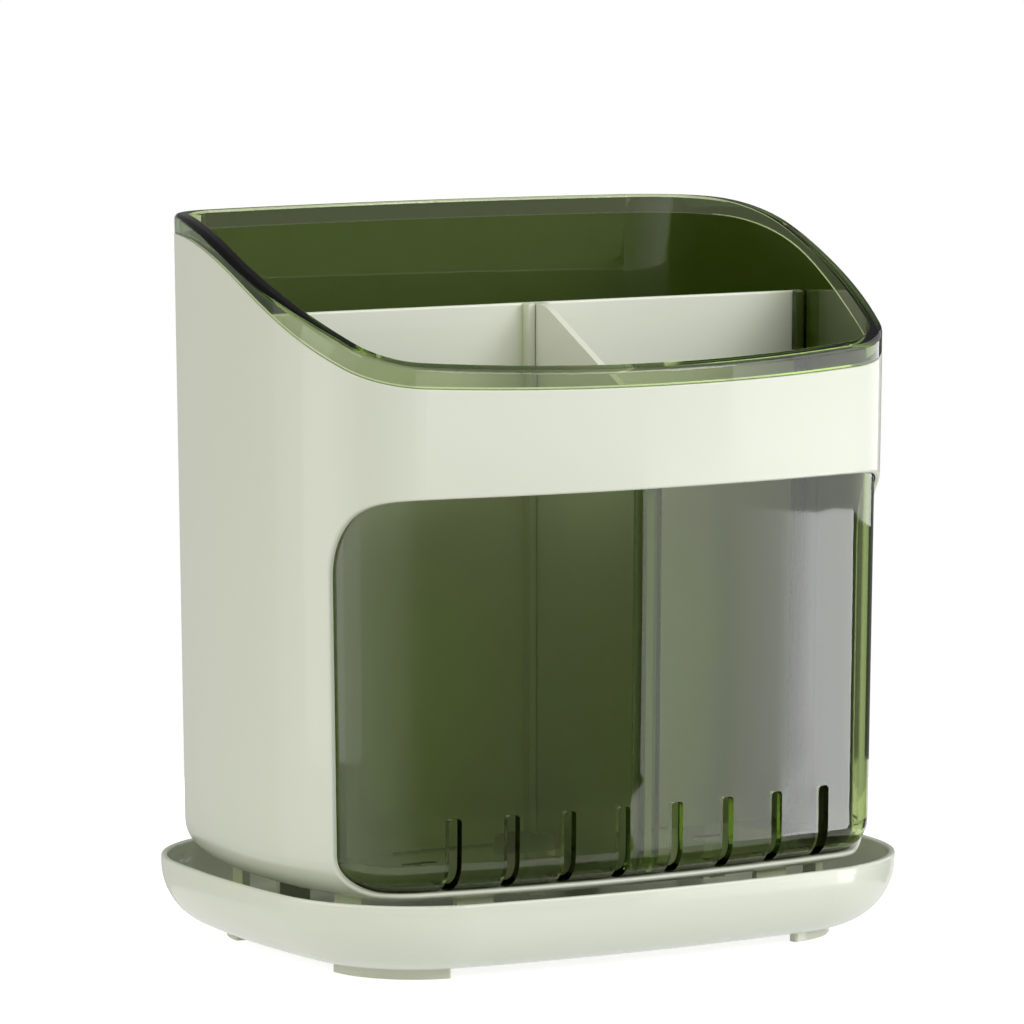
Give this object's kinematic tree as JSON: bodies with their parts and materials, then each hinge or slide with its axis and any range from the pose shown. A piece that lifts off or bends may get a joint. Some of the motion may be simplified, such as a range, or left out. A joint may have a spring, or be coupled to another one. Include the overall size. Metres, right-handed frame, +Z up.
{
  "type": "utensil holder",
  "caption": "Free-standing kitchen utensil holder: a clear slotted liner with lift-out dividers hangs in a tapered shell with a front window, standing in a rounded drip tray.",
  "frame": {"origin": "on the table under the middle of the tray", "axes": "+Z up, -Y towards the front with the window, +X to the right as seen from the front"},
  "size_m": [0.19, 0.1446, 0.1959],
  "materials": {
    "sage_plastic": "smooth satin, pale sage green",
    "clear_olive_plastic": "polished, see-through olive green",
    "divider_plastic": "smooth satin, pale sage green",
    "foot_rubber": "soft matt, pale sage green"
  },
  "bodies": {
    "tray": {"drip_tray": "sage_plastic", "foot_front_left": "foot_rubber", "foot_front_right": "foot_rubber", "foot_back_left": "foot_rubber", "foot_back_right": "foot_rubber"},
    "shell": {"outer_shell": "sage_plastic"},
    "liner": {"liner": "clear_olive_plastic"},
    "long_divider": {"long_divider": "divider_plastic"},
    "cross_divider": {"cross_divider": "divider_plastic"}
  },
  "joints": [
    {"name": "shell_lift", "type": "slide", "parent": "tray", "child": "shell", "axis": [0, 0, 1], "range_m": [0, 0.04]},
    {"name": "liner_lift", "type": "slide", "parent": "shell", "child": "liner", "axis": [0, 0, 1], "range_m": [0, 0.175]},
    {"name": "long_divider_lift", "type": "slide", "parent": "liner", "child": "long_divider", "axis": [0, 0, 1], "range_m": [0, 0.172]},
    {"name": "cross_divider_lift", "type": "slide", "parent": "liner", "child": "cross_divider", "axis": [0, 0, 1], "range_m": [0, 0.172]}
  ]
}
